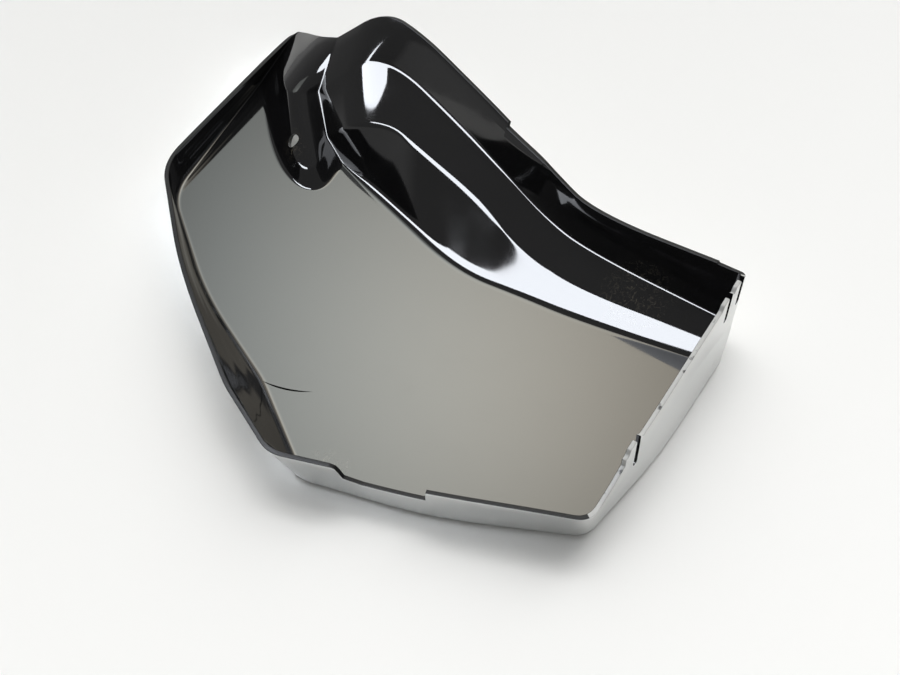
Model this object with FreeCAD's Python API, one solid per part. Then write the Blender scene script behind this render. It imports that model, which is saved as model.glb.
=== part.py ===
import FreeCAD, Part
import math
import os
from typing import NamedTuple

Vector = FreeCAD.Vector

# Reach of the rim from the fitting origin, in millimetres
RIGHT_REACH = 144.0
LEFT_REACH = 188.0
UPPER_REACH = 203.0
LOWER_REACH = 119.0

# Wall thickness, heights and roundings of the moulded shell
WALL = 2.5
LOWER_RIM = 29.0
LEFT_RIM = 29.0
UPPER_LEFT_RIM = 17.0
RIGHT_RIM = 50.0
TALL_RIM_RIGHT = 45.0
HIGH_RIM = 74.0
LEDGE_EDGE_RIGHT = 10.0
LEDGE_EDGE = 38.0
FLANGE_FOOT_RIGHT = 18.0
FLANGE_FOOT = 51.0
SCOOP_CREST = 26.0
CREASE_ROUND = 6.0

# Screw hole in the left slope of the scoop
HOLE_DIAMETER = 8.0
HOLE_CUT = 5.0

# Edge of the right wall: low end, step, clip slots and the tabs beside them.
# The low slot is placed from the lower corner, the high slots from the upper corner.
RIGHT_EDGE_LOW = 28.0
RIGHT_EDGE_STEP = 35.0
RIGHT_EDGE_MIDDLE = 40.0
RIGHT_EDGE_HIGH = 48.0
STEP_PLACE = 31.0
SLOT_WIDTH = 4.0
SLOT_DEPTH = 17.0
LOW_SLOT_PLACE = 43.0
HIGH_SLOT_PLACES = (18.0, 4.0)
TAB_RISE = 3.0
TAB_LENGTH = 7.0

# Edge of the lower wall: a lowered stretch between two steps
LOWERED_START = 35.0
LOWERED_END = 79.0
LOWERED_EDGE = 17.0
LOWER_EDGE_RIGHT = 24.0
LOWERED_ROUND = 4.0

# Small step in the edge of the tall wall, running out to its right
TALL_STEP_DEPTH = 4.0
TALL_STEP_RUN = 30.0

# Crack in the main face, from the foot of the left wall
CRACK_LENGTH = 29.0
CRACK_SAG = 2.2
CRACK_GAPE = 1.2

# How far the edge cutters reach to either side of a wall and above it
CUTTER_REACH = 14.0


class Station(NamedTuple):
    """One cross-section of the panel's wall, from the main face out to the rim.

    floor is the inside corner where the wall leaves the main face, ledge and crease are the
    two bends of the wall and rim is its inside top edge. turn is the length of the rounding
    where the wall turns at this station (0 for a soft bend), fillet the length of the rounding
    at the foot and reach the distance from the foot to the flat of the main face.
    """

    floor: tuple
    ledge: tuple
    crease: tuple
    rim: tuple
    turn: float
    fillet: float
    reach: float


def straight_wall(floor, rim, turn, fillet, reach):
    """A station whose wall is straight from its foot to its rim."""
    foot = (floor[0], floor[1], WALL)
    ledge = tuple(a + (b - a) / 3 for a, b in zip(foot, rim))
    crease = tuple(b + (a - b) / 3 for a, b in zip(foot, rim))
    return Station(floor, ledge, crease, rim, turn, fillet, reach)


# The stations go round the panel counter-clockwise, seen from its open side
STATIONS = {
    "lower_right": straight_wall(
        (RIGHT_REACH - 46, 13 - LOWER_REACH), (RIGHT_REACH - 43, 3 - LOWER_REACH, LOWER_RIM), 14, 5, 9
    ),
    "right_middle": straight_wall(
        (RIGHT_REACH - 22, -48), (RIGHT_REACH - 26, -58, RIGHT_RIM + 4), 0, 5, 10
    ),
    "upper_right": Station(
        (RIGHT_REACH - 5, 19), (RIGHT_REACH - 4, 27, LEDGE_EDGE_RIGHT - 1),
        (RIGHT_REACH - 3, 41, FLANGE_FOOT_RIGHT - 2), (RIGHT_REACH, 41, RIGHT_RIM), 12, 8, 12
    ),
    "tall_right": Station(
        (60, 31), (58, 43, LEDGE_EDGE_RIGHT), (60, 66, FLANGE_FOOT_RIGHT), (60, 67, TALL_RIM_RIGHT), 0, 8, 12
    ),
    "tall_bend": Station(
        (30, 39), (28, 56, LEDGE_EDGE_RIGHT + 5),
        (31, 80, FLANGE_FOOT_RIGHT + 5), (32, 88, TALL_RIM_RIGHT + 5), 0, 8, 12
    ),
    "tall_middle": Station(
        (-10, 48), (-4, 75, LEDGE_EDGE - 8), (-3, 100, FLANGE_FOOT - 13), (2, 108, HIGH_RIM - 12), 0, 8, 12
    ),
    "tall_left": Station(
        (-60, UPPER_REACH - 117), (-50, UPPER_REACH - 102, LEDGE_EDGE - 1),
        (-37, UPPER_REACH - 79, FLANGE_FOOT - 6), (-32, UPPER_REACH - 71, HIGH_RIM - 5), 0, 8, 12
    ),
    "pocket_right": Station(
        (-77, UPPER_REACH - 105), (-66, UPPER_REACH - 90, LEDGE_EDGE),
        (-72, UPPER_REACH - 55, FLANGE_FOOT), (-59, UPPER_REACH - 52, HIGH_RIM), 0, 9, 9
    ),
    "pocket_left": Station(
        (-87, UPPER_REACH - 98), (-91, UPPER_REACH - 84, LEDGE_EDGE - 10),
        (-93, UPPER_REACH - 54, FLANGE_FOOT + 1), (-87, UPPER_REACH - 35, HIGH_RIM), 0, 7, 6
    ),
    "scoop_valley": Station(
        (-97, UPPER_REACH - 91), (-110, UPPER_REACH - 80, SCOOP_CREST - 16),
        (-123, UPPER_REACH - 56, SCOOP_CREST - 4), (-118, UPPER_REACH - 32, UPPER_LEFT_RIM + 28), 8, 6, 5
    ),
    "scoop_right": Station(
        (-101, UPPER_REACH - 117), (-114, UPPER_REACH - 97, SCOOP_CREST - 12),
        (-130, UPPER_REACH - 65, SCOOP_CREST), (-129, UPPER_REACH - 24, UPPER_LEFT_RIM + 20), 0, 6, 6
    ),
    "scoop_left": Station(
        (-116, UPPER_REACH - 118), (-124, UPPER_REACH - 99, SCOOP_CREST - 12),
        (-138, UPPER_REACH - 66, SCOOP_CREST), (-137, UPPER_REACH - 17, UPPER_LEFT_RIM + 14), 0, 6, 6
    ),
    "scoop_slope": Station(
        (-137, UPPER_REACH - 96), (-139, UPPER_REACH - 75, SCOOP_CREST - 13),
        (-147, UPPER_REACH - 52, SCOOP_CREST - 4), (-146, UPPER_REACH - 8, UPPER_LEFT_RIM + 7), 0, 6, 6
    ),
    "upper_left": straight_wall(
        (20 - LEFT_REACH, UPPER_REACH - 36), (32 - LEFT_REACH, UPPER_REACH, UPPER_LEFT_RIM), 8, 5, 9
    ),
    "left_corner": straight_wall(
        (5 - LEFT_REACH, 60), (-LEFT_REACH, 69, UPPER_LEFT_RIM + 1), 34, 5, 10
    ),
    "left_middle": straight_wall(
        (52 - LEFT_REACH, -10), (44 - LEFT_REACH, -14, LEFT_RIM - 1), 0, 5, 10
    ),
    "left_waist": straight_wall(
        (-86, 61 - LOWER_REACH), (-91, 33 - LOWER_REACH, LEFT_RIM + 1), 12, 5, 10
    ),
    "lower_left": straight_wall(
        (-46, 8 - LOWER_REACH), (-57, -LOWER_REACH, LEFT_RIM), 16, 5, 10
    ),
    "lower_middle": straight_wall(
        (24, 3 - LOWER_REACH), (24, -LOWER_REACH, LOWER_RIM), 0, 5, 10
    ),
}

# The skin is made in patches, each over the stations from its first to its last
PATCHES = (
    ("lower_right", "right_middle"),
    ("upper_right", "tall_bend"),
    ("tall_middle", "pocket_right"),
    ("pocket_left", "scoop_right"),
    ("scoop_left", "left_corner"),
    ("left_middle", "lower_middle"),
)

# Walls with a trimmed edge, from the station where their places are counted to the other end
RIGHT_WALL = ("lower_right", "upper_right")
LOWER_WALL = ("lower_left", "lower_right")
STEPPED_WALL = ("tall_middle", "tall_bend")

# The patch of the scoop's left slope, and where on it the screw hole is, in spans along and up
HOLE_PATCH = ("scoop_left", "left_corner")
HOLE_SPANS = (0.58, 4.92)

# Most of its leg that a rounding may take: at a turn or bend, at the foot of a wall, and at
# the ledge on the side of the foot. The flat of a sharp corner keeps near it.
LEG_SHARE = 0.46
FOOT_SHARE = 0.72
LEDGE_SHARE = 0.26
SHARPEST_MITRE = 2.2
# Small weight that keeps a wall's step square to it where its faces lie in line
SQUARENESS = 0.05
# Both edges of a ruled strip run the same way
SAME_WAY = 1


def towards(start, end, distance, share=LEG_SHARE):
    """The point at a distance from start on the way to end, no further than a share of the way."""
    leg = end - start
    return start + leg * (min(distance, share * leg.Length) / leg.Length)


def flat_starts():
    """Where the flat of the main face begins, inside the foot of each station."""
    corners = [Vector(*station.floor, WALL) for station in STATIONS.values()]
    starts = []
    for i, station in enumerate(STATIONS.values()):
        before = (corners[i] - corners[i - 1]).normalize()
        after = (corners[(i + 1) % len(corners)] - corners[i]).normalize()
        left_before = Vector(-before.y, before.x, 0)
        left_after = Vector(-after.y, after.x, 0)
        inward = left_before + left_after
        mitre = min(inward.Length / inward.dot(left_before), SHARPEST_MITRE)
        starts.append(corners[i] + inward.normalize() * (mitre * station.reach))
    return starts


def profile(station, flat):
    """Control points of one station's cross-section, from the flat of the face to the rim."""
    foot = Vector(*station.floor, WALL)
    ledge = Vector(*station.ledge)
    crease = Vector(*station.crease)
    rim = Vector(*station.rim)
    return [
        flat,
        towards(foot, flat, station.fillet, FOOT_SHARE),
        foot,
        towards(foot, ledge, station.fillet, FOOT_SHARE),
        towards(ledge, foot, CREASE_ROUND, LEDGE_SHARE),
        ledge,
        towards(ledge, crease, CREASE_ROUND),
        towards(crease, ledge, CREASE_ROUND),
        crease,
        towards(crease, rim, CREASE_ROUND),
        rim,
    ]


def inside_net():
    """Control net of the inside skin, and the first and last column of each station."""
    profiles = [profile(s, flat) for s, flat in zip(STATIONS.values(), flat_starts())]
    columns = []
    owned = {}
    for i, (name, station) in enumerate(STATIONS.items()):
        here = profiles[i]
        after = profiles[(i + 1) % len(profiles)]
        first = len(columns)
        if station.turn:
            columns.append([towards(p, q, station.turn) for p, q in zip(here, profiles[i - 1])])
        columns.append(here)
        if station.turn:
            columns.append([towards(p, q, station.turn) for p, q in zip(here, after)])
        owned[name] = (first, len(columns) - 1)
    return columns, owned


def wall_step(normals):
    """The step that is one wall thickness along each of the normals, as near as can be."""
    sums = [[SQUARENESS if row == column else 0.0 for column in range(3)] for row in range(3)]
    total = Vector(0, 0, 0)
    for normal in normals:
        total = total + normal
        for row in range(3):
            for column in range(3):
                sums[row][column] += normal[row] * normal[column]
    matrix = FreeCAD.Matrix(*sums[0], 0, *sums[1], 0, *sums[2], 0, 0, 0, 0, 1)
    mean = Vector(total).normalize()
    return matrix.inverse().multVec((total + mean * SQUARENESS) * WALL)


def outside_net(columns):
    """Control net of the outside skin, one wall thickness away from the inside one."""
    across = len(columns)
    top = len(columns[0]) - 1
    outside = []
    for i in range(across):
        outside.append([])
        for j, point in enumerate(columns[i]):
            normals = []
            for side in (i - 1, i):
                for level in range(max(j - 1, 0), min(j, top - 1) + 1):
                    corner = columns[side][level]
                    along = columns[(side + 1) % across][level] - corner
                    rise = columns[side][level + 1] - corner
                    normals.append(along.cross(rise).normalize())
            step = wall_step(normals)
            if point.z == WALL:
                step.z = -WALL
            outside[i].append(point + step)
    return outside


def patch(columns, first, last):
    """Quadratic surface over the columns first to last, from mid-leg to mid-leg."""
    after = columns[(last + 1) % len(columns)]
    start = [(a + b) * 0.5 for a, b in zip(columns[first - 1], columns[first])]
    end = [(a + b) * 0.5 for a, b in zip(columns[last], after)]
    poles = [start] + columns[first:last + 1] + [end]
    spans = (len(poles) - 2, len(start) - 2)
    knots = [list(range(count + 1)) for count in spans]
    multiplicities = [[3] + [1] * (count - 1) + [3] for count in spans]
    surface = Part.BSplineSurface()
    surface.buildFromPolesMultsKnots(poles, *multiplicities, *knots, False, False, 2, 2)
    return surface


def shell_of_panel():
    """The moulded shell with its whole rim, before anything is cut."""
    inside, owned = inside_net()
    outside = outside_net(inside)
    faces = []
    floor_edges = []
    base_edges = []
    for first, last in PATCHES:
        span = (owned[first][0], owned[last][1])
        skins = [patch(net, *span) for net in (inside, outside)]
        foot, top = skins[0].bounds()[2:]
        rims = [skin.vIso(top).toShape() for skin in skins]
        floor_edges.append(skins[0].vIso(foot).toShape())
        base_edges.append(skins[1].vIso(foot).toShape())
        faces += [skin.toShape() for skin in skins]
        faces.append(Part.makeRuledSurface(*rims, SAME_WAY))
    faces += [Part.Face(Part.Wire(edges)) for edges in (floor_edges, base_edges)]
    shell = Part.makeShell(faces)
    shell.sewShape()
    solid = Part.makeSolid(shell)
    if solid.Volume < 0:
        solid.reverse()
    return solid


def wall_length(first, last):
    """Length of a wall's edge in plan, from one station to another."""
    return math.dist(STATIONS[first].rim[:2], STATIONS[last].rim[:2])


def wall_axes(first, last):
    """Start of a wall's edge in plan, the way along it and the way out of the panel."""
    origin = Vector(*STATIONS[first].rim[:2], 0)
    along = (Vector(*STATIONS[last].rim[:2], 0) - origin).normalize()
    return origin, along, Vector(along.y, -along.x, 0)


def wall_cutter(first, last, outline):
    """A prism over an outline of (along, height) points in the upright plane of a wall."""
    origin, along, out = wall_axes(first, last)
    points = [origin + along * s + Vector(0, 0, z) - out * CUTTER_REACH for s, z in outline]
    return Part.Face(Part.makePolygon(points + [points[0]])).extrude(out * (CUTTER_REACH * 2))


def right_edge_height(distance):
    """Height of the right wall's edge at a distance from the lower corner."""
    start = STEP_PLACE + TAB_LENGTH
    slope = (RIGHT_EDGE_HIGH - RIGHT_EDGE_MIDDLE) / (wall_length(*RIGHT_WALL) - start)
    return RIGHT_EDGE_MIDDLE + slope * (distance - start)


def slot_places():
    """Distances of the clip slots from the lower corner of the right wall."""
    length = wall_length(*RIGHT_WALL)
    return [LOW_SLOT_PLACE] + [length - place for place in HIGH_SLOT_PLACES]


def tab(place):
    """Prism over the raised tab left of a clip slot and the short lip right of it."""
    left = place - SLOT_WIDTH / 2 - TAB_LENGTH
    right = place + SLOT_WIDTH / 2 + TAB_RISE
    foot = right_edge_height(place) - SLOT_DEPTH
    outline = [
        (left, foot),
        (left, right_edge_height(left)),
        (left + TAB_RISE / 2, right_edge_height(left) + TAB_RISE),
        (right - TAB_RISE, right_edge_height(right) + TAB_RISE),
        (right, right_edge_height(right)),
        (right, foot),
    ]
    return wall_cutter(*RIGHT_WALL, outline)


def slot(place):
    """Prism over a clip slot with a round bottom, from above the edge of the right wall."""
    above = HIGH_RIM + CUTTER_REACH
    radius = SLOT_WIDTH / 2
    centre = right_edge_height(place) - SLOT_DEPTH + radius
    origin, along, out = wall_axes(*RIGHT_WALL)
    left, right = place - radius, place + radius
    sides = [(left, above), (left, centre), (right, centre), (right, above)]
    start = origin + along * place + Vector(0, 0, centre) - out * CUTTER_REACH
    bottom = Part.makeCylinder(radius, CUTTER_REACH * 2, start, out)
    return wall_cutter(*RIGHT_WALL, sides).fuse(bottom)


def right_edge_cutter():
    """Trims the right wall to its edge: low end, step, tabs and clip slots."""
    above = HIGH_RIM + CUTTER_REACH
    rise_start = STEP_PLACE / 3
    end = wall_length(*RIGHT_WALL) + CUTTER_REACH
    trim = wall_cutter(*RIGHT_WALL, [
        (-CUTTER_REACH, above),
        (-CUTTER_REACH, RIGHT_EDGE_LOW),
        (rise_start, RIGHT_EDGE_LOW),
        (rise_start * 2, (RIGHT_EDGE_LOW * 2 + RIGHT_EDGE_STEP) / 3),
        (STEP_PLACE, RIGHT_EDGE_STEP),
        (STEP_PLACE, right_edge_height(STEP_PLACE)),
        (end, right_edge_height(end)),
        (end, above),
    ])
    for place in slot_places():
        trim = trim.cut(tab(place))
    for place in slot_places():
        trim = trim.fuse(slot(place))
    return trim


def lower_edge_cutter():
    """Trims the lower wall to its edge, with the lowered stretch between two steps."""
    above = LOWER_RIM + CUTTER_REACH
    end = wall_length(*LOWER_WALL)
    outline = [
        (LOWERED_START - LOWERED_ROUND, above),
        (LOWERED_START - LOWERED_ROUND, LOWER_RIM),
        (LOWERED_START - LOWERED_ROUND / 3, LOWER_RIM - LOWERED_ROUND / 3),
        (LOWERED_START, LOWER_RIM - LOWERED_ROUND),
        (LOWERED_START + LOWERED_ROUND / 2, LOWERED_EDGE + LOWERED_ROUND / 2),
        (LOWERED_START + LOWERED_ROUND * 3, LOWERED_EDGE),
        (LOWERED_END, LOWERED_EDGE),
        (LOWERED_END, LOWER_EDGE_RIGHT),
        (end, RIGHT_EDGE_LOW),
        (end, above),
    ]
    return wall_cutter(*LOWER_WALL, outline)


def tall_edge_cutter():
    """Cuts the small step into the edge of the tall wall."""
    above = HIGH_RIM + CUTTER_REACH
    edge, far_edge = [STATIONS[name].rim[2] for name in STEPPED_WALL]
    run_out = edge + (far_edge - edge) * TALL_STEP_RUN / wall_length(*STEPPED_WALL)
    outline = [(0, above), (0, edge - TALL_STEP_DEPTH), (TALL_STEP_RUN, run_out), (TALL_STEP_RUN, above)]
    return wall_cutter(*STEPPED_WALL, outline)


def screw_place():
    """Where the screw hole meets the inside face of the scoop, and its axis into the inside."""
    columns, owned = inside_net()
    first, last = HOLE_PATCH
    slope = patch(columns, owned[first][0], owned[last][1])
    return slope.value(*HOLE_SPANS), slope.normal(*HOLE_SPANS) * -1


def screw_hole():
    """Drill for the screw hole, square to the face of the scoop."""
    place, axis = screw_place()
    return Part.makeCylinder(HOLE_DIAMETER / 2, HOLE_CUT * 2, place - axis * HOLE_CUT, axis)


def crack():
    """A slit through the main face that gapes in the middle and runs to a point at both ends."""
    start = Vector(*STATIONS["left_waist"].floor, -WALL)
    end = start + Vector(CRACK_LENGTH, 0, 0)
    edges = []
    for sag in (CRACK_SAG - CRACK_GAPE / 2, CRACK_SAG + CRACK_GAPE / 2):
        middle = start + Vector(CRACK_LENGTH / 2, -sag, 0)
        edges.append(Part.Arc(start, middle, end).toShape())
    return Part.Face(Part.Wire(edges)).extrude(Vector(0, 0, WALL * 3))


def build_panel():
    """The whole side panel on its main face, and the step that puts its origin under its middle."""
    panel = shell_of_panel()
    for cutter in (right_edge_cutter(), lower_edge_cutter(), tall_edge_cutter(), screw_hole(), crack()):
        panel = panel.cut(cutter)
    solid = panel.Solids[0]
    middle = solid.optimalBoundingBox().Center
    to_origin = Vector(-middle.x, -middle.y, 0)
    solid.translate(to_origin)
    return solid, to_origin


panel, to_origin = build_panel()
hole_place, hole_axis = screw_place()
print("valid", panel.isValid(), "volume", round(panel.Volume), "step to origin", to_origin)
print("screw hole at", hole_place + to_origin, "axis", hole_axis)
os.makedirs("parts", exist_ok=True)
panel.exportStep("parts/side_panel.step")
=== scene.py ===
"""Looks of a moulded motorbike side panel: gloss black inside, silver paint outside, in a plain studio."""

import logging
import math
from dataclasses import dataclass, field
from enum import Enum

import bpy
import numpy as np
from mathutils import Matrix, Vector

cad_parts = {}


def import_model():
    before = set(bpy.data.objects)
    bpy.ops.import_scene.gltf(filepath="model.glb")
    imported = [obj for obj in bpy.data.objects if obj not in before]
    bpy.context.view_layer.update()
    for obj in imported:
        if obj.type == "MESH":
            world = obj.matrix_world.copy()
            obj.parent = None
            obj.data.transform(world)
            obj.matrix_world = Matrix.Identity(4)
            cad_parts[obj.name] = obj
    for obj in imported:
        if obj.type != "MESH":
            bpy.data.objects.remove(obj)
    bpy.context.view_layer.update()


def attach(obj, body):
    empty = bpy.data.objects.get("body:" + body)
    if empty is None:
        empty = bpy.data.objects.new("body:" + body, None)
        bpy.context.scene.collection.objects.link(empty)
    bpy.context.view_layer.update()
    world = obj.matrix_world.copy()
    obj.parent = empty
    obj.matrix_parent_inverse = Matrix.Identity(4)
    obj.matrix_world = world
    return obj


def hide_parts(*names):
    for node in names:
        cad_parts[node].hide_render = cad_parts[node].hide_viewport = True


LOG = logging.getLogger("side_panel")

# The shape is worked out in millimetres and handed over in metres
MM = 0.001
NODE = "side_panel"


class Layer(Enum):
    """Material slots of the panel's mesh."""

    PLASTIC = 0
    EDGE = 1
    PAINT = 2
    RUBBED = 3


def linear(hex_colour: str) -> tuple[float, float, float, float]:
    """Turn an sRGB hex colour into linear RGBA.

    Args:
        hex_colour: Colour such as "#1a1b1c".

    Returns:
        Linear red, green and blue with an alpha of 1.
    """
    parts = [int(hex_colour[i:i + 2], 16) / 255 for i in (1, 3, 5)]
    red, green, blue = (c / 12.92 if c <= 0.04045 else ((c + 0.055) / 1.055) ** 2.4 for c in parts)
    return red, green, blue, 1.0


def add_node(tree: bpy.types.NodeTree, kind: str, settings: dict | None = None,
             links: dict | None = None) -> bpy.types.Node:
    """Add a node with its settings and its incoming links.

    Args:
        tree: Node tree to add to.
        kind: Node type without its "ShaderNode" prefix.
        settings: Values by socket name or number, or by attribute name.
        links: Output sockets by the name or number of the socket they feed.

    Returns:
        The new node.
    """
    node = tree.nodes.new("ShaderNode" + kind)
    for key, value in (settings or {}).items():
        if isinstance(key, str) and hasattr(node, key):
            setattr(node, key, value)
        else:
            node.inputs[key].default_value = value
    for key, socket in (links or {}).items():
        tree.links.new(socket, node.inputs[key])
    return node


def new_material(name: str) -> tuple[bpy.types.Material, bpy.types.NodeTree]:
    """Make an empty node material.

    Args:
        name: Name of the real material or process.

    Returns:
        The material and its node tree.
    """
    material = bpy.data.materials.new(name)
    material.use_nodes = True
    material.node_tree.nodes.clear()
    return material, material.node_tree


@dataclass(frozen=True)
class GlossBlackAbs:
    """Gloss black ABS as it leaves a polished mould, handled and a little dusty.

    It gives the eye a black mirror whose edges of light are slightly soft in places.
    """

    name: str = "gloss_black_abs"
    colour: str = "#171718"
    # ABS has an index of about 1.53
    ior: float = 1.53
    roughness: float = 0.035
    # Handling adds this much roughness at most, in patches of this many millimetres,
    # from none to all of it between the two levels of the pattern
    haze: float = 0.05
    haze_size: float = 22.2
    haze_range: tuple[float, float] = (0.35, 0.7)
    # Dust lies in twisted smears this many millimetres wide, from none to full between the two levels
    dust_colour: str = "#6f695c"
    dust_size: float = 3.0
    dust_twist: float = 1.5
    dust_range: tuple[float, float] = (0.52, 0.78)
    # Middles of the dusty places in the frame and their radius, in millimetres
    dusty: tuple[tuple[float, float, float, float], ...] = (
        (112.0, 6.0, 13.0, 24.0), (-106.0, 66.0, 14.0, 11.0), (-14.0, -147.0, 3.0, 16.0))

    def build(self) -> bpy.types.Material:
        """Build the material.

        Returns:
            The finished material.
        """
        material, tree = new_material(self.name)
        place = add_node(tree, "TexCoord").outputs["Object"]
        haze = add_node(tree, "TexNoise", {
            "Scale": 1 / (self.haze_size * MM), "Detail": 4.0}, {"Vector": place})
        rough = add_node(tree, "MapRange", {
            "From Min": self.haze_range[0], "From Max": self.haze_range[1],
            "To Min": self.roughness, "To Max": self.roughness + self.haze,
        }, {"Value": haze.outputs["Fac"]})
        smears = add_node(tree, "TexNoise", {
            "Scale": 1 / (self.dust_size * MM), "Detail": 5.0, "Distortion": self.dust_twist,
        }, {"Vector": place})
        lying = add_node(tree, "MapRange", {
            "From Min": self.dust_range[0], "From Max": self.dust_range[1]}, {"Value": smears.outputs["Fac"]})
        share = None
        for *middle, radius in self.dusty:
            gap = add_node(tree, "VectorMath", {"operation": "DISTANCE", 1: Vector(middle) * MM}, {0: place})
            near = add_node(tree, "MapRange", {
                "From Min": radius * MM, "From Max": 0.0}, {"Value": gap.outputs["Value"]}).outputs["Result"]
            share = near if share is None else add_node(
                tree, "Math", {"operation": "MAXIMUM"}, {0: share, 1: near}).outputs[0]
        dust = add_node(tree, "Math", {"operation": "MULTIPLY"}, {0: share, 1: lying.outputs["Result"]})
        colour = add_node(tree, "Mix", {
            "data_type": "RGBA", 6: linear(self.colour), 7: linear(self.dust_colour),
        }, {0: dust.outputs[0]})
        shader = add_node(tree, "BsdfPrincipled", {"IOR": self.ior}, {
            "Base Color": colour.outputs[2], "Roughness": rough.outputs["Result"]})
        add_node(tree, "OutputMaterial", links={"Surface": shader.outputs["BSDF"]})
        return material


@dataclass(frozen=True)
class TrimmedEdge:
    """Cut and filed edge of the moulding, matt because no mould wall touched it.

    It gives the eye a dark line around the gloss.
    """

    name: str = "trimmed_black_abs_edge"
    colour: str = "#101011"
    ior: float = 1.53
    roughness: float = 0.55
    # File marks swallow part of the shine
    shine: float = 0.2

    def build(self) -> bpy.types.Material:
        """Build the material.

        Returns:
            The finished material.
        """
        material, tree = new_material(self.name)
        shader = add_node(tree, "BsdfPrincipled", {
            "Base Color": linear(self.colour), "IOR": self.ior, "Roughness": self.roughness,
            "Specular IOR Level": self.shine,
        })
        add_node(tree, "OutputMaterial", links={"Surface": shader.outputs["BSDF"]})
        return material


@dataclass(frozen=True)
class SilverPaint:
    """Silver metallic paint sprayed on the outer side.

    It gives the eye a soft grey sheen that takes up the pale table.
    """

    name: str = "sprayed_silver_paint"
    colour: str = "#d6d7d6"
    metallic: float = 0.9
    roughness: float = 0.28

    def build(self) -> bpy.types.Material:
        """Build the material.

        Returns:
            The finished material.
        """
        material, tree = new_material(self.name)
        shader = add_node(tree, "BsdfPrincipled", {
            "Base Color": linear(self.colour), "Metallic": self.metallic, "Roughness": self.roughness,
        })
        add_node(tree, "OutputMaterial", links={"Surface": shader.outputs["BSDF"]})
        return material


@dataclass(frozen=True)
class RubbedPaint:
    """Silver paint on the right wall's edge, rubbed matt by the next cover and worn through in spots.

    It gives the eye an even grey edge with a few dark nicks.
    """

    name: str = "rubbed_silver_paint"
    colour: str = "#b2b2af"
    bare_colour: str = "#2b2b2c"
    roughness: float = 0.6
    # Worn spots are this many millimetres long, from painted to bare between the two levels of the pattern
    spot_size: float = 6.0
    spot_range: tuple[float, float] = (0.64, 0.72)

    def build(self) -> bpy.types.Material:
        """Build the material.

        Returns:
            The finished material.
        """
        material, tree = new_material(self.name)
        place = add_node(tree, "TexCoord").outputs["Object"]
        wear = add_node(tree, "TexNoise", {
            "Scale": 1 / (self.spot_size * MM), "Detail": 3.0}, {"Vector": place})
        bare = add_node(tree, "MapRange", {
            "From Min": self.spot_range[0], "From Max": self.spot_range[1]}, {"Value": wear.outputs["Fac"]})
        mix = add_node(tree, "Mix", {
            "data_type": "RGBA", 6: linear(self.colour), 7: linear(self.bare_colour),
        }, {0: bare.outputs["Result"]})
        shader = add_node(tree, "BsdfPrincipled", {"Roughness": self.roughness},
                          {"Base Color": mix.outputs[2]})
        add_node(tree, "OutputMaterial", links={"Surface": shader.outputs["BSDF"]})
        return material


@dataclass(frozen=True)
class Station:
    """One cross-section of the panel's wall, from the main face out to the rim, in millimetres.

    floor is the inside corner where the wall leaves the main face, ledge and crease are the two
    bends of the wall and rim is its inside top edge. turn is the length of the rounding where the
    wall turns (0 for a soft bend), fillet the length of the rounding at the foot and reach the
    distance from the foot to the flat of the main face.
    """

    floor: tuple[float, float]
    ledge: tuple[float, float, float]
    crease: tuple[float, float, float]
    rim: tuple[float, float, float]
    turn: float
    fillet: float
    reach: float


# Thickness of the moulding
WALL = 2.5
# Largest share of a leg that the rounding at its end takes
LEG_SHARE = 0.46


def straight_wall(floor: tuple[float, float], rim: tuple[float, float, float],
                  turn: float, fillet: float, reach: float) -> Station:
    """Make a station whose wall is straight from its foot to its rim.

    Args:
        floor: Inside corner at the foot.
        rim: Inside top edge.
        turn: Rounding where the wall turns.
        fillet: Rounding at the foot.
        reach: Distance from the foot to the flat.

    Returns:
        The station.
    """
    foot = np.array((*floor, WALL))
    top = np.array(rim)
    ledge = tuple(foot + (top - foot) / 3)
    crease = tuple(top + (foot - top) / 3)
    return Station(floor, ledge, crease, rim, turn, fillet, reach)


# The stations go round the panel counter-clockwise, seen from its open side
STATIONS = {
    "lower_right": straight_wall((98, -106), (101, -116, 29), 14, 5, 9),
    "right_middle": straight_wall((122, -48), (118, -58, 54), 0, 5, 10),
    "upper_right": Station((139, 19), (140, 27, 8.5), (141, 41, 13), (144, 41, 50), 5, 8, 12),
    "tall_right": Station((60, 31), (58, 43, 10), (60, 66, 18), (60, 67, 45), 0, 8, 12),
    "tall_bend": Station((30, 39), (28, 56, 15), (31, 80, 23), (32, 88, 50), 0, 8, 12),
    "tall_middle": Station((-10, 48), (-4, 75, 30), (-3, 100, 38), (2, 108, 62), 0, 8, 12),
    "tall_left": Station((-60, 86), (-50, 101, 37), (-37, 124, 45), (-32, 132, 69), 0, 8, 12),
    "pocket_right": Station((-77, 98), (-66, 113, 38), (-72, 148, 51), (-59, 151, 74), 0, 9, 9),
    "pocket_left": Station((-87, 105), (-91, 119, 28), (-93, 149, 52), (-87, 168, 74), 0, 7, 6),
    "scoop_valley": Station((-97, 112), (-110, 123, 10), (-123, 147, 22), (-118, 171, 45), 3, 6, 5),
    "scoop_right": Station((-101, 86), (-106, 94, 11), (-130, 138, 26), (-129, 179, 37), 0, 2, 6),
    "scoop_left": Station((-116, 85), (-119, 93, 11), (-138, 137, 26), (-137, 186, 31), 0, 2, 6),
    "scoop_slope": Station((-137, 107), (-139, 128, 13), (-147, 151, 22), (-146, 195, 24), 0, 6, 6),
    "upper_left": straight_wall((-168, 167), (-156, 203, 17), 8, 5, 9),
    "left_corner": straight_wall((-183, 60), (-188, 69, 18), 34, 5, 10),
    "left_middle": straight_wall((-136, -10), (-144, -14, 28), 0, 5, 10),
    "left_waist": straight_wall((-86, -58), (-91, -86, 30), 12, 5, 10),
    "lower_left": straight_wall((-46, -111), (-57, -119, 29), 16, 5, 10),
    "lower_middle": straight_wall((24, -116), (24, -119, 29), 0, 5, 10),
}


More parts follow.
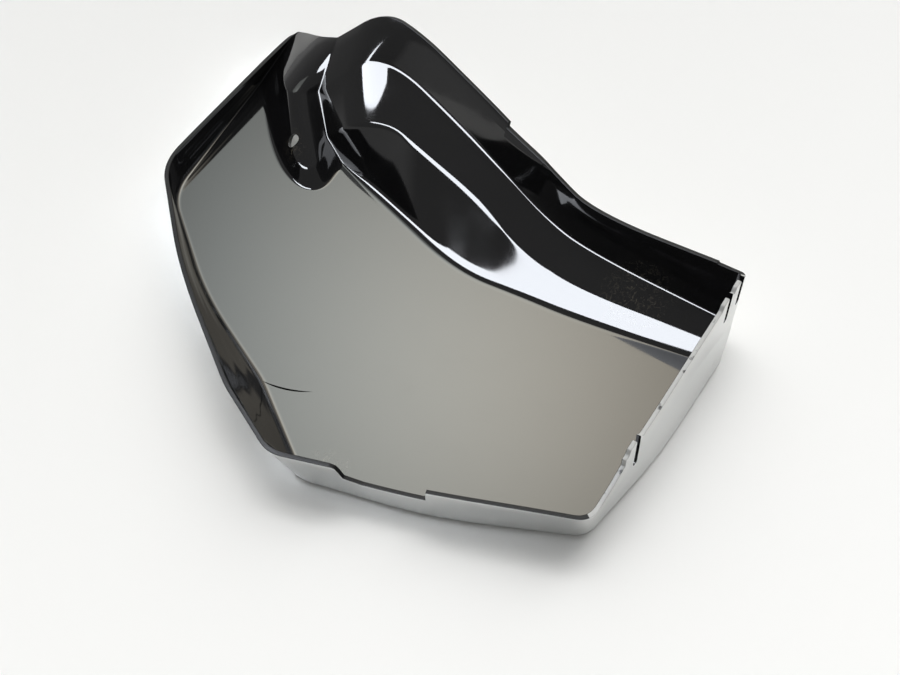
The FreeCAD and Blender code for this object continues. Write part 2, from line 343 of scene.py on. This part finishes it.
def towards(start: np.ndarray, end: np.ndarray, distance: float, share: float = LEG_SHARE) -> np.ndarray:
    """Find the points at a distance from start on the way to end, at most a share of the way.

    Args:
        start: Start points.
        end: End points.
        distance: Distance from the start.
        share: Largest share of the way.

    Returns:
        The points on the way.
    """
    leg = end - start
    length = np.linalg.norm(leg, axis=-1, keepdims=True)
    return start + leg * (np.minimum(distance, share * length) / length)


def along_columns(net: np.ndarray, places: np.ndarray) -> np.ndarray:
    """Evaluate the closed quadratic curves of a net around the panel.

    Args:
        net: Control points, first axis around the panel.
        places: Places around it, whole numbers at the mid-legs.

    Returns:
        The points, one row per place.
    """
    first = np.floor(places).astype(int)
    t = (places - first).reshape(-1, *[1] * (net.ndim - 1))
    count = len(net)
    here = net[first % count]
    start = (net[(first - 1) % count] + here) / 2
    end = (here + net[(first + 1) % count]) / 2
    return start * (1 - t) ** 2 + here * (2 * t * (1 - t)) + end * t ** 2


def up_columns(columns: np.ndarray, places: np.ndarray) -> np.ndarray:
    """Evaluate the quadratic curves of columns of control points from the flat to the rim.

    Args:
        columns: Control points, one column per row of the array.
        places: Places up each column, one row per column.

    Returns:
        Points by column and place.
    """
    spans = columns.shape[1] - 2
    first = np.clip(np.floor(places).astype(int), 0, spans - 1)
    t = (places - first)[..., None]
    row = np.arange(len(columns))[:, None]
    here = columns[row, first + 1]
    start = np.where(first[..., None] == 0, columns[row, 0], (columns[row, first] + here) / 2)
    end = np.where(first[..., None] == spans - 1, columns[row, -1], (here + columns[row, first + 2]) / 2)
    return start * (1 - t) ** 2 + here * (2 * t * (1 - t)) + end * t ** 2


@dataclass
class PanelShape:
    """The moulded shell of the panel, its trimmed edges and its cuts, in millimetres."""

    crease_round: float = 2.6
    ledge_round: float = 4.0
    # Largest shares of a wall's legs that the roundings at its foot and below its ledge take
    foot_share: float = 0.72
    ledge_share: float = 0.26
    # How strongly the offset is held to the mean normal, and how far a corner may stretch
    squareness: float = 0.05
    sharpest_mitre: float = 2.2
    edge_round: float = 0.45
    edge_angles: tuple[int, ...] = (30, 60, 90)
    # How far a trim or a cut reaches across a wall and up, and the height that stands for no trim
    cutter_reach: float = 14.0
    cutter_top: float = 90.0
    untrimmed: float = 1000.0
    # Heights of the right wall's edge from its lower end to its upper one, and the place of its step
    right_edge: dict[str, float] = field(default_factory=lambda: {
        "low": 28.0, "step": 35.0, "middle": 40.0, "high": 48.0, "place": 31.0})
    # Places along the lower wall and the heights of its edge there
    lower_places: tuple[float, ...] = (31.0, 33.7, 35.0, 37.0, 47.0, 78.9, 79.1)
    lower_heights: tuple[float, ...] = (29.0, 27.7, 25.0, 19.0, 17.0, 17.0, 24.0)
    lower_end: float = 28.0
    # The small step in the tall edge: its length and the heights at its ends
    tall_step: float = 30.0
    tall_heights: tuple[float, float] = (58.0, 52.0)
    slot_width: float = 4.0
    slot_depth: float = 17.0
    low_slot: float = 43.0
    high_slots: tuple[float, float] = (18.0, 4.0)
    tab_rise: float = 3.0
    tab_length: float = 7.0
    hole_diameter: float = 8.0
    hole_reach: float = 5.0
    # The hole opens outwards, to this many times its diameter at the cutter's outer end
    hole_flare: float = 1.35
    # Its place on the inside skin: columns past the scoop's left station, and levels up
    hole_place: tuple[float, float] = (0.68, 5.62)
    crack_length: float = 29.0
    crack_sag: float = 2.2
    crack_gape: float = 1.2
    # Fineness of the mesh: columns, extra columns where the edge rises or bends, and levels up each skin
    column_spacing: float = 2.4
    rise_spacing: float = 0.8
    bend_spacing: float = 0.06
    sharpest_bend: float = 0.2
    column_search: float = 0.01
    edge_search: int = 361
    inside_levels: int = 64
    outside_levels: int = 30
    arc_steps: int = 48
    # Step over which the wall's run at its edge is measured
    edge_run: float = 0.05

    def inside_net(self) -> tuple[np.ndarray, dict[str, int]]:
        """Work out the control net of the inside skin.

        Returns:
            The net by column and level, and the first column of each station.
        """
        stations = list(STATIONS.values())
        corners = np.array([(*s.floor, WALL) for s in stations])
        profiles = []
        for i, station in enumerate(stations):
            before = corners[i] - corners[i - 1]
            after = corners[(i + 1) % len(corners)] - corners[i]
            lefts = [np.array((-leg[1], leg[0], 0)) / np.linalg.norm(leg) for leg in (before, after)]
            inward = lefts[0] + lefts[1]
            mitre = min(np.linalg.norm(inward) / inward.dot(lefts[0]), self.sharpest_mitre)
            flat = corners[i] + inward / np.linalg.norm(inward) * (mitre * station.reach)
            foot = corners[i]
            ledge, crease, rim = (np.array(p, float) for p in (station.ledge, station.crease, station.rim))
            bend = self.crease_round
            brow = min(self.ledge_round, station.fillet)
            profiles.append([
                flat, towards(foot, flat, station.fillet, self.foot_share),
                foot, towards(foot, ledge, station.fillet, self.foot_share),
                towards(ledge, foot, brow, self.ledge_share), ledge, towards(ledge, crease, brow),
                towards(crease, ledge, bend), crease, towards(crease, rim, bend), rim])
        profiles = np.array(profiles)
        columns = []
        first = {}
        for i, (name, station) in enumerate(STATIONS.items()):
            first[name] = len(columns)
            if station.turn:
                columns.append(towards(profiles[i], profiles[i - 1], station.turn))
            columns.append(profiles[i])
            if station.turn:
                columns.append(towards(profiles[i], profiles[(i + 1) % len(profiles)], station.turn))
        return np.array(columns), first

    def outside_net(self, inside: np.ndarray) -> np.ndarray:
        """Offset the inside net by one wall thickness.

        Args:
            inside: Control net of the inside skin.

        Returns:
            Control net of the outside skin.
        """
        along = np.roll(inside, -1, axis=0)[:, :-1] - inside[:, :-1]
        rise = inside[:, 1:] - inside[:, :-1]
        normals = np.cross(along, rise)
        normals /= np.linalg.norm(normals, axis=-1, keepdims=True)
        outside = inside.copy()
        top = inside.shape[1] - 1
        for i in range(len(inside)):
            for j in range(top + 1):
                faces = np.array([normals[side, level] for side in (i - 1, i)
                                  for level in range(max(j - 1, 0), min(j, top - 1) + 1)])
                total = faces.sum(axis=0)
                mean = total / np.linalg.norm(total)
                sums = faces.T @ faces + self.squareness * np.eye(3)
                step = np.linalg.solve(sums, (total + mean * self.squareness) * WALL)
                if inside[i, j, 2] == WALL:
                    step[2] = -WALL
                outside[i, j] += step
        return outside

    def wall_axes(self, first: str, last: str) -> tuple[np.ndarray, np.ndarray, np.ndarray, float]:
        """Find the plan axes of a wall's edge.

        Args:
            first: Station where places are counted from.
            last: Station at the other end.

        Returns:
            Origin, way along, way out of the panel and length.
        """
        origin = np.array((*STATIONS[first].rim[:2], 0.0))
        leg = np.array((*STATIONS[last].rim[:2], 0.0)) - origin
        length = float(np.linalg.norm(leg))
        along = leg / length
        return origin, along, np.array((along[1], -along[0], 0.0)), length

    def along_wall(self, points: np.ndarray, first: str, last: str) -> tuple[np.ndarray, np.ndarray, float]:
        """Place points along a wall's edge.

        Args:
            points: The points.
            first: Station where places are counted from.
            last: Station at the other end.

        Returns:
            Places along the wall, whether each point lies close to it, and its length.
        """
        origin, along, out, length = self.wall_axes(first, last)
        return (points - origin) @ along, np.abs((points - origin) @ out) < self.cutter_reach, length

    def on_right_wall(self, points: np.ndarray) -> np.ndarray:
        """Tell which points lie along the right wall's edge."""
        place, close, length = self.along_wall(points, "lower_right", "upper_right")
        return close & (place > 0) & (place < length)

    def right_height(self, place: np.ndarray | float) -> np.ndarray | float:
        """Height of the right wall's edge, without steps and tabs, at a place along it."""
        start = self.right_edge["place"] + self.tab_length
        length = self.wall_axes("lower_right", "upper_right")[3]
        slope = (self.right_edge["high"] - self.right_edge["middle"]) / (length - start)
        return self.right_edge["middle"] + slope * (place - start)

    def slot_places(self) -> list[float]:
        """Places of the clip slots along the right wall."""
        length = self.wall_axes("lower_right", "upper_right")[3]
        return [self.low_slot] + [length - place for place in self.high_slots]

    def edge_limit(self, points: np.ndarray) -> np.ndarray:
        """Height at which the walls are trimmed above points.

        Args:
            points: Points on the walls.

        Returns:
            One height per point, very high where nothing is trimmed.
        """
        limit = np.full(points.shape[:-1], self.untrimmed)
        edge = self.right_edge
        s, close, length = self.along_wall(points, "lower_right", "upper_right")
        third = edge["place"] / 3
        low = np.interp(s, [third, third * 2, edge["place"]],
                        [edge["low"], (edge["low"] * 2 + edge["step"]) / 3, edge["step"]])
        height = np.where(s < edge["place"], low, self.right_height(s))
        for place in self.slot_places():
            left = place - self.slot_width / 2 - self.tab_length
            right = place + self.slot_width / 2 + self.tab_rise
            ends = [left, left + self.tab_rise / 2, right - self.tab_rise, right]
            tops = [self.right_height(left), self.right_height(left) + self.tab_rise,
                    self.right_height(right) + self.tab_rise, self.right_height(right)]
            height = np.where((s > left) & (s < right), np.maximum(height, np.interp(s, ends, tops)), height)
        near = close & (s > -self.cutter_reach) & (s < length + self.cutter_reach)
        limit = np.where(near, np.minimum(limit, height), limit)
        s, close, length = self.along_wall(points, "lower_left", "lower_right")
        height = np.interp(s, (*self.lower_places, length), (*self.lower_heights, self.lower_end))
        near = close & (s > self.lower_places[0]) & (s < length)
        limit = np.where(near, np.minimum(limit, height), limit)
        s, close, _ = self.along_wall(points, "tall_middle", "tall_bend")
        height = np.interp(s, (0, self.tall_step), self.tall_heights)
        near = close & (s > 0) & (s < self.tall_step)
        return np.where(near, np.minimum(limit, height), limit)

    def edge_places(self, columns: np.ndarray) -> np.ndarray:
        """Find how far up each column of control points the trimmed edge lies.

        Args:
            columns: Control points by column.

        Returns:
            One place up per column.
        """
        fine = np.linspace(0, columns.shape[1] - 2, self.edge_search)
        points = up_columns(columns, np.broadcast_to(fine, (len(columns), len(fine))))
        over = points[..., 2] - self.edge_limit(points)
        hit = np.argmax(over > 0, axis=1)
        hit = np.where((over > 0).any(axis=1), hit, len(fine) - 1)
        row = np.arange(len(columns))
        above, below = over[row, hit], over[row, np.maximum(hit - 1, 0)]
        part = np.where(above > 0, -below / (above - below), 1.0)
        return fine[np.maximum(hit - 1, 0)] + part * (fine[1] - fine[0])

    def column_places(self, net: np.ndarray) -> np.ndarray:
        """Choose where the mesh has its columns, closer where the edge steps or turns.

        Args:
            net: Control net of the inside skin.

        Returns:
            Places around the panel.
        """
        dense = np.arange(0, len(net), self.column_search)
        columns = along_columns(net, dense)
        edges = up_columns(columns, self.edge_places(columns)[:, None])[:, 0]
        plan = np.linalg.norm(np.diff(columns, axis=0, append=columns[:1]), axis=-1).max(axis=1)
        rise = np.abs(np.diff(edges[:, 2], append=edges[:1, 2]))
        heading = np.unwrap(np.arctan2(*np.diff(edges[:, :2], axis=0, append=edges[:1, :2]).T[::-1]))
        bend = np.minimum(np.abs(np.diff(heading, append=heading[-1:])), self.sharpest_bend)
        need = plan / self.column_spacing + rise / self.rise_spacing + bend / self.bend_spacing
        cost = np.concatenate(([0], np.cumsum(need)))
        count = int(round(cost[-1]))
        return np.interp(np.arange(count) * cost[-1] / count, cost, np.append(dense, len(net)))

    def rings(self) -> tuple[np.ndarray, int, int]:
        """Work out the skin's points, column by column, from the flat over the rim to the base.

        Returns:
            Points by column and level, and the first levels of the edge and of the outside.
        """
        inside = self.inside_net()[0]
        outside = self.outside_net(inside)
        places = self.column_places(inside)
        skins = []
        ends = []
        for net, levels in ((inside, self.inside_levels), (outside, self.outside_levels)):
            columns = along_columns(net, places)
            tops = self.edge_places(columns)
            edge = up_columns(columns, tops[:, None])[:, 0]
            run = up_columns(columns, (tops - self.edge_run)[:, None])[:, 0] - edge
            drop = run / np.linalg.norm(run, axis=-1, keepdims=True)
            pace = np.linalg.norm(run, axis=-1) / self.edge_run
            last = tops - self.edge_round / np.maximum(pace, 1.0)
            skins.append(up_columns(columns, last[:, None] * np.linspace(0, 1, levels)))
            ends.append((edge, drop))
        (inner, inner_drop), (outer, outer_drop) = ends
        across = outer - inner
        across /= np.linalg.norm(across, axis=-1, keepdims=True)
        arcs = []
        for corner, drop, way, angles in ((inner, inner_drop, across, self.edge_angles),
                                          (outer, outer_drop, -across, self.edge_angles[::-1])):
            for angle in np.radians(angles):
                step = drop * (1 - math.sin(angle)) + way * (1 - math.cos(angle))
                arcs.append(corner + step * self.edge_round)
        ring = np.concatenate((skins[0], np.stack(arcs, axis=1), skins[1][:, ::-1]), axis=1)
        return ring, self.inside_levels, self.inside_levels + len(arcs)

    def to_frame(self, points: np.ndarray) -> np.ndarray:
        """Step from the fitting origin to the frame's origin under the middle of the box."""
        low, high = points.min(axis=0), points.max(axis=0)
        return np.array((*(low + high)[:2] / -2, 0.0))

    def hole(self) -> tuple[np.ndarray, np.ndarray]:
        """Find the screw hole.

        Returns:
            Its place on the inside face and its axis into the inside.
        """
        net, first = self.inside_net()
        around = first["scoop_left"] + self.hole_place[0]
        step = 0.02
        column = along_columns(net, np.array([around - step, around, around + step]))
        up = np.tile([self.hole_place[1] - step, self.hole_place[1], self.hole_place[1] + step], (3, 1))
        grid = up_columns(column, up)
        axis = np.cross(grid[1, 2] - grid[1, 0], grid[2, 1] - grid[0, 1])
        return grid[1, 1], axis / np.linalg.norm(axis)


def mesh_object(name: str, points: np.ndarray, faces: list) -> bpy.types.Object:
    """Make an object from points in millimetres.

    Args:
        name: Name of the object.
        points: Points.
        faces: Point numbers of each face.

    Returns:
        The linked object.
    """
    mesh = bpy.data.meshes.new(name)
    mesh.from_pydata((points * MM).tolist(), [], faces)
    mesh.update()
    piece = bpy.data.objects.new(name, mesh)
    bpy.context.scene.collection.objects.link(piece)
    return piece


def prism(name: str, outline: np.ndarray, way: np.ndarray, taper: float = 1.0) -> bpy.types.Object:
    """Make a closed prism.

    Args:
        name: Name of the object.
        outline: Corners of one end, counter-clockwise seen against the way.
        way: Step from that end to the other.
        taper: Size of the other end, as a share of this one.

    Returns:
        The prism.
    """
    count = len(outline)
    middle = outline.mean(axis=0)
    points = np.concatenate((outline, middle + (outline - middle) * taper + way))
    faces = [tuple(reversed(range(count))), tuple(range(count, 2 * count))]
    faces += [(i, (i + 1) % count, count + (i + 1) % count, count + i) for i in range(count)]
    return mesh_object(name, points, faces)


@dataclass
class SidePanel:
    """The whole side panel: moulded shell with its slots, screw hole and crack."""

    shape: PanelShape = field(default_factory=PanelShape)
    plastic: GlossBlackAbs = field(default_factory=GlossBlackAbs)
    edge: TrimmedEdge = field(default_factory=TrimmedEdge)
    paint: SilverPaint = field(default_factory=SilverPaint)
    rubbed: RubbedPaint = field(default_factory=RubbedPaint)
    # Faces that meet at more than this many degrees keep a sharp edge
    sharp_angle: float = 38.0

    def shell(self) -> tuple[bpy.types.Object, np.ndarray]:
        """Build the closed shell.

        Returns:
            The shell and the step that puts it in the frame.
        """
        ring, edge, outside = self.shape.rings()
        across, levels = ring.shape[:2]
        step = self.shape.to_frame(ring.reshape(-1, 3))
        # The spray reached over the right wall's edge
        painted = self.shape.on_right_wall(ring[:, outside])
        faces = []
        layers = []
        for k in range(across):
            here, after = k * levels, (k + 1) % across * levels
            for j in range(levels - 1):
                faces.append((here + j, here + j + 1, after + j + 1, after + j))
                layer = Layer.PLASTIC if j < edge - 1 else Layer.EDGE if j < outside - 1 else Layer.PAINT
                if layer is Layer.EDGE and painted[k] and j > edge:
                    layer = Layer.RUBBED
                layers.append(layer.value)
        faces.append(tuple(k * levels for k in range(across)))
        layers.append(Layer.PLASTIC.value)
        faces.append(tuple(k * levels + levels - 1 for k in reversed(range(across))))
        layers.append(Layer.PAINT.value)
        piece = mesh_object("moulded_panel", ring.reshape(-1, 3) + step, faces)
        for finish in (self.plastic, self.edge, self.paint, self.rubbed):
            piece.data.materials.append(finish.build())
        piece.data.polygons.foreach_set("material_index", layers)
        return piece, step

    def cutters(self, step: np.ndarray) -> list[bpy.types.Object]:
        """Build the cutters of the slots, the screw hole and the crack.

        Args:
            step: Step that puts the shape in the frame.

        Returns:
            The cutters.
        """
        shape = self.shape
        origin, along, out, _ = shape.wall_axes("lower_right", "upper_right")
        up = np.array((0, 0, 1.0))
        radius = shape.slot_width / 2
        pieces = []
        for number, place in enumerate(shape.slot_places()):
            centre = shape.right_height(place) - shape.slot_depth + radius
            arc = [(place + radius * math.cos(a), centre + radius * math.sin(a))
                   for a in np.linspace(math.pi, 2 * math.pi, shape.arc_steps // 4 + 1)]
            outline = [(place - radius, shape.cutter_top)] + arc + [(place + radius, shape.cutter_top)]
            points = np.array([origin + along * s + up * z - out * shape.cutter_reach for s, z in outline])
            pieces.append(prism(f"slot_cutter_{number}", points + step, out * shape.cutter_reach * 2))
        place, axis = shape.hole()
        side = np.cross(axis, up)
        side /= np.linalg.norm(side)
        other = np.cross(axis, side)
        turn = np.linspace(0, 2 * math.pi, shape.arc_steps + 1)[:-1, None]
        circle = (side * np.cos(turn) + other * np.sin(turn)) * shape.hole_diameter / 2
        depth = axis * shape.hole_reach
        pieces.append(prism("hole_cutter", place + circle * shape.hole_flare - depth + step, depth * 2,
                            (2 - shape.hole_flare) / shape.hole_flare))
        start = np.array((*STATIONS["left_waist"].floor, -WALL))
        share = np.linspace(0, 1, shape.arc_steps // 3 + 1)[:, None]
        bow = 4 * share * (1 - share)
        lower, upper = (start + np.hstack((shape.crack_length * share, -sag * bow, 0 * share)) for sag in (
            shape.crack_sag + shape.crack_gape / 2, shape.crack_sag - shape.crack_gape / 2))
        outline = np.concatenate((lower, upper[-2:0:-1]))
        pieces.append(prism("crack_cutter", outline + step, up * WALL * 3))
        return pieces

    def build(self) -> tuple[bpy.types.Object, np.ndarray]:
        """Build and dress the panel.

        Returns:
            The panel's object and the step from the fitting origin to the frame.
        """
        piece, step = self.shell()
        cutters = self.cutters(step)
        group = bpy.data.collections.new("cutters")
        for cutter in cutters:
            group.objects.link(cutter)
        cut = piece.modifiers.new("cuts", "BOOLEAN")
        cut.operation = "DIFFERENCE"
        cut.operand_type = "COLLECTION"
        cut.collection = group
        cut.solver = "MANIFOLD"
        graph = bpy.context.evaluated_depsgraph_get()
        mesh = bpy.data.meshes.new_from_object(piece.evaluated_get(graph))
        piece.modifiers.clear()
        piece.data = mesh
        for cutter in cutters:
            bpy.data.objects.remove(cutter)
        bpy.data.collections.remove(group)
        mesh.polygons.foreach_set("use_smooth", [True] * len(mesh.polygons))
        mesh.set_sharp_from_angle(angle=math.radians(self.sharp_angle))
        return piece, step


@dataclass(frozen=True)
class Card:
    """A lit card of the studio, seen in the object's gloss but not by the camera.

    Directions from the object are given as the shares to the right and away from the camera of a
    step of one, the rest being up. The light is brightest at the spot and falls to the rim share
    at the reach from it, in metres; its colour goes from the left to the right colour.
    """

    name: str
    corners: tuple[tuple[float, float], ...]
    spot: tuple[float, float]
    reach: float
    rim_share: float
    colours: tuple[str, str]
    strength: float
    distance: float = 3.0


@dataclass
class Studio:
    """Pale table, lit cards and the camera at the photograph's viewing angle."""

    # The point that the camera and the cards face
    target: tuple[float, float, float]
    # The camera's turn about the upright and its height above the table, in degrees
    turn: float = 16.0
    elevation: float = 48.0
    distance: float = 0.96
    lens: float = 72.0
    table_size: float = 8.0
    # The table lies this far below the object's lowest face, so that the two faces don't share a plane
    table_drop: float = 0.0004
    table_colour: str = "#f6f6f4"
    # Distance from the object to the left end of the table
    table_left: float = 0.42
    # The soft light falls mostly from behind and above: its direction to the right, away and up,
    # how narrow it is, and the levels around it and in it
    soft_from: tuple[float, float, float] = (0.12, 0.64, 0.76)
    soft_narrowness: float = 7.0
    soft_levels: tuple[float, float] = (0.21, 7.15)
    # The room as it is seen: pale walls up to the first height, a dim ceiling from the second one
    wall_heights: tuple[float, float] = (0.02, 0.10)
    room_levels: tuple[float, float] = (0.5, 0.28)
    cards: tuple[Card, ...] = (
        Card("back_card", ((-0.36, 0.46), (0.36, 0.46), (0.36, 0.86), (-0.36, 0.86)),
             (0.0, 0.64), 1.0, 0.2, ("#eef4f0", "#fbf3e2"), 8.2),
        Card("octagonal_softbox",
             ((-0.24, -0.45), (-0.18, -0.02), (-0.50, 0.12), (-0.88, 0.20), (-0.89, -0.04), (-0.91, -0.15),
              (-0.785, -0.272), (-0.655, -0.372), (-0.56, -0.425)),
             (-0.5, -0.1), 9.0, 1.0, ("#f4f8ff", "#f4f8ff"), 22.0),
    )

    def axes(self) -> tuple[Vector, Vector]:
        """Level directions to the camera's right and away from it."""
        turn = math.radians(self.turn)
        return Vector((math.cos(turn), math.sin(turn), 0)), Vector((-math.sin(turn), math.cos(turn), 0))

    def direction(self, way: tuple[float, float]) -> Vector:
        """Direction from the object whose shares to the right and away from the camera are given."""
        right, away = self.axes()
        return right * way[0] + away * way[1] + Vector((0, 0, math.sqrt(1 - way[0] ** 2 - way[1] ** 2)))

    def build_table(self) -> bpy.types.Object:
        """Build the pale table top that the object lies on."""
        right, away = self.axes()
        half = self.table_size / 2
        sides = ((-self.table_left, -half), (half, -half), (half, half), (-self.table_left, half))
        corners = np.array([right * a + away * b for a, b in sides])
        table = mesh_object("table", corners / MM, [(0, 1, 2, 3)])
        # Matt white board, which gives the eye an even pale ground with soft contact shade
        material, tree = new_material("white_table")
        shader = add_node(tree, "BsdfDiffuse", {"Color": linear(self.table_colour)})
        add_node(tree, "OutputMaterial", links={"Surface": shader.outputs["BSDF"]})
        table.data.materials.append(material)
        table.location.z = -self.table_drop
        return table

    def build_card(self, card: Card) -> bpy.types.Object:
        """Build one lit card that faces the object.

        Args:
            card: What to build.

        Returns:
            The card's object.
        """
        ways = [self.direction(corner) for corner in card.corners]
        middle = sum(ways, Vector()).normalized()
        facing = (-middle).to_track_quat("Z", "Y").to_matrix().to_4x4()
        place = Matrix.Translation(middle * card.distance + Vector(self.target)) @ facing
        *corners, spot = [
            place.inverted() @ (way * (card.distance / way.dot(middle)) + Vector(self.target))
            for way in (*ways, self.direction(card.spot))]
        piece = mesh_object(card.name, np.array(corners) / MM, [tuple(range(len(corners)))])
        piece.matrix_world = place
        material, tree = new_material(card.name)
        shape = add_node(tree, "TexCoord").outputs["Object"]
        spread = add_node(tree, "VectorMath", {"operation": "DISTANCE", 1: spot}, {0: shape})
        fall = add_node(tree, "MapRange", {
            "interpolation_type": "SMOOTHSTEP", "From Max": card.reach,
            "To Min": card.strength, "To Max": card.strength * card.rim_share,
        }, {"Value": spread.outputs["Value"]})
        across = add_node(tree, "SeparateXYZ", links={0: shape})
        share = add_node(tree, "MapRange", {"From Min": -card.reach / 2, "From Max": card.reach / 2},
                         {"Value": across.outputs["X"]})
        mix = add_node(tree, "Mix", {
            "data_type": "RGBA", 6: linear(card.colours[0]), 7: linear(card.colours[1]),
        }, {0: share.outputs["Result"]})
        light = add_node(tree, "Emission", links={
            "Color": mix.outputs[2], "Strength": fall.outputs["Result"]})
        add_node(tree, "OutputMaterial", links={"Surface": light.outputs["Emission"]})
        piece.data.materials.append(material)
        piece.visible_camera = False
        piece.visible_diffuse = False
        return piece

    def build_world(self) -> None:
        """Give the room its soft light, and the walls and ceiling that are seen, also in gloss."""
        world = bpy.data.worlds.new("room")
        bpy.context.scene.world = world
        world.use_nodes = True
        tree = world.node_tree
        tree.nodes.clear()
        right, away = self.axes()
        rightward, onward, upward = self.soft_from
        source = (right * rightward + away * onward + Vector((0, 0, upward))).normalized()
        way = add_node(tree, "TexCoord").outputs["Generated"]
        facing = add_node(tree, "VectorMath", {"operation": "DOT_PRODUCT", 1: source}, {0: way})
        positive = add_node(tree, "Math", {"operation": "MAXIMUM", 1: 0.0}, {0: facing.outputs["Value"]})
        glow = add_node(tree, "Math", {"operation": "POWER", 1: self.soft_narrowness},
                        {0: positive.outputs[0]})
        soft = add_node(tree, "MapRange", {"To Min": self.soft_levels[0], "To Max": self.soft_levels[1]},
                        {"Value": glow.outputs[0]})
        height = add_node(tree, "SeparateXYZ", links={0: way}).outputs["Z"]
        room = add_node(tree, "MapRange", {
            "From Min": self.wall_heights[0], "From Max": self.wall_heights[1],
            "To Min": self.room_levels[0], "To Max": self.room_levels[1],
        }, {"Value": height})
        ray = add_node(tree, "LightPath").outputs
        seen = ray["Is Camera Ray"]
        for kind in ("Is Glossy Ray", "Is Transmission Ray"):
            seen = add_node(tree, "Math", {"operation": "MAXIMUM"}, {0: seen, 1: ray[kind]}).outputs[0]
        level = add_node(tree, "Mix", links={0: seen, 2: soft.outputs["Result"], 3: room.outputs["Result"]})
        light = add_node(tree, "Background", {"Color": linear("#ffffff")}, {"Strength": level.outputs[0]})
        add_node(tree, "OutputWorld", links={"Surface": light.outputs["Background"]})

    def build_camera(self) -> None:
        """Set the camera at the photograph's viewing angle."""
        _, away = self.axes()
        tilt = math.radians(self.elevation)
        back = away * -math.cos(tilt) + Vector((0, 0, math.sin(tilt)))
        data = bpy.data.cameras.new("camera")
        data.lens = self.lens
        camera = bpy.data.objects.new("camera", data)
        camera.location = Vector(self.target) + back * self.distance
        camera.rotation_euler = (-back).to_track_quat("-Z", "Y").to_euler()
        bpy.context.scene.collection.objects.link(camera)
        bpy.context.scene.camera = camera

    def build(self) -> None:
        """Build the whole studio."""
        self.build_table()
        for card in self.cards:
            self.build_card(card)
        self.build_world()
        self.build_camera()
        bpy.context.scene.view_settings.view_transform = "Standard"


def main() -> None:
    """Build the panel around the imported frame, and its studio."""
    logging.basicConfig(level=logging.INFO, format="%(name)s: %(message)s")
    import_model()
    panel, step = SidePanel().build()
    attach(panel, "root")
    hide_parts(NODE)
    LOG.info("%s: %d faces", panel.name, len(panel.data.polygons))
    Studio(target=tuple(step * MM)).build()
    bpy.context.view_layer.update()


if __name__ == "__main__":
    main()
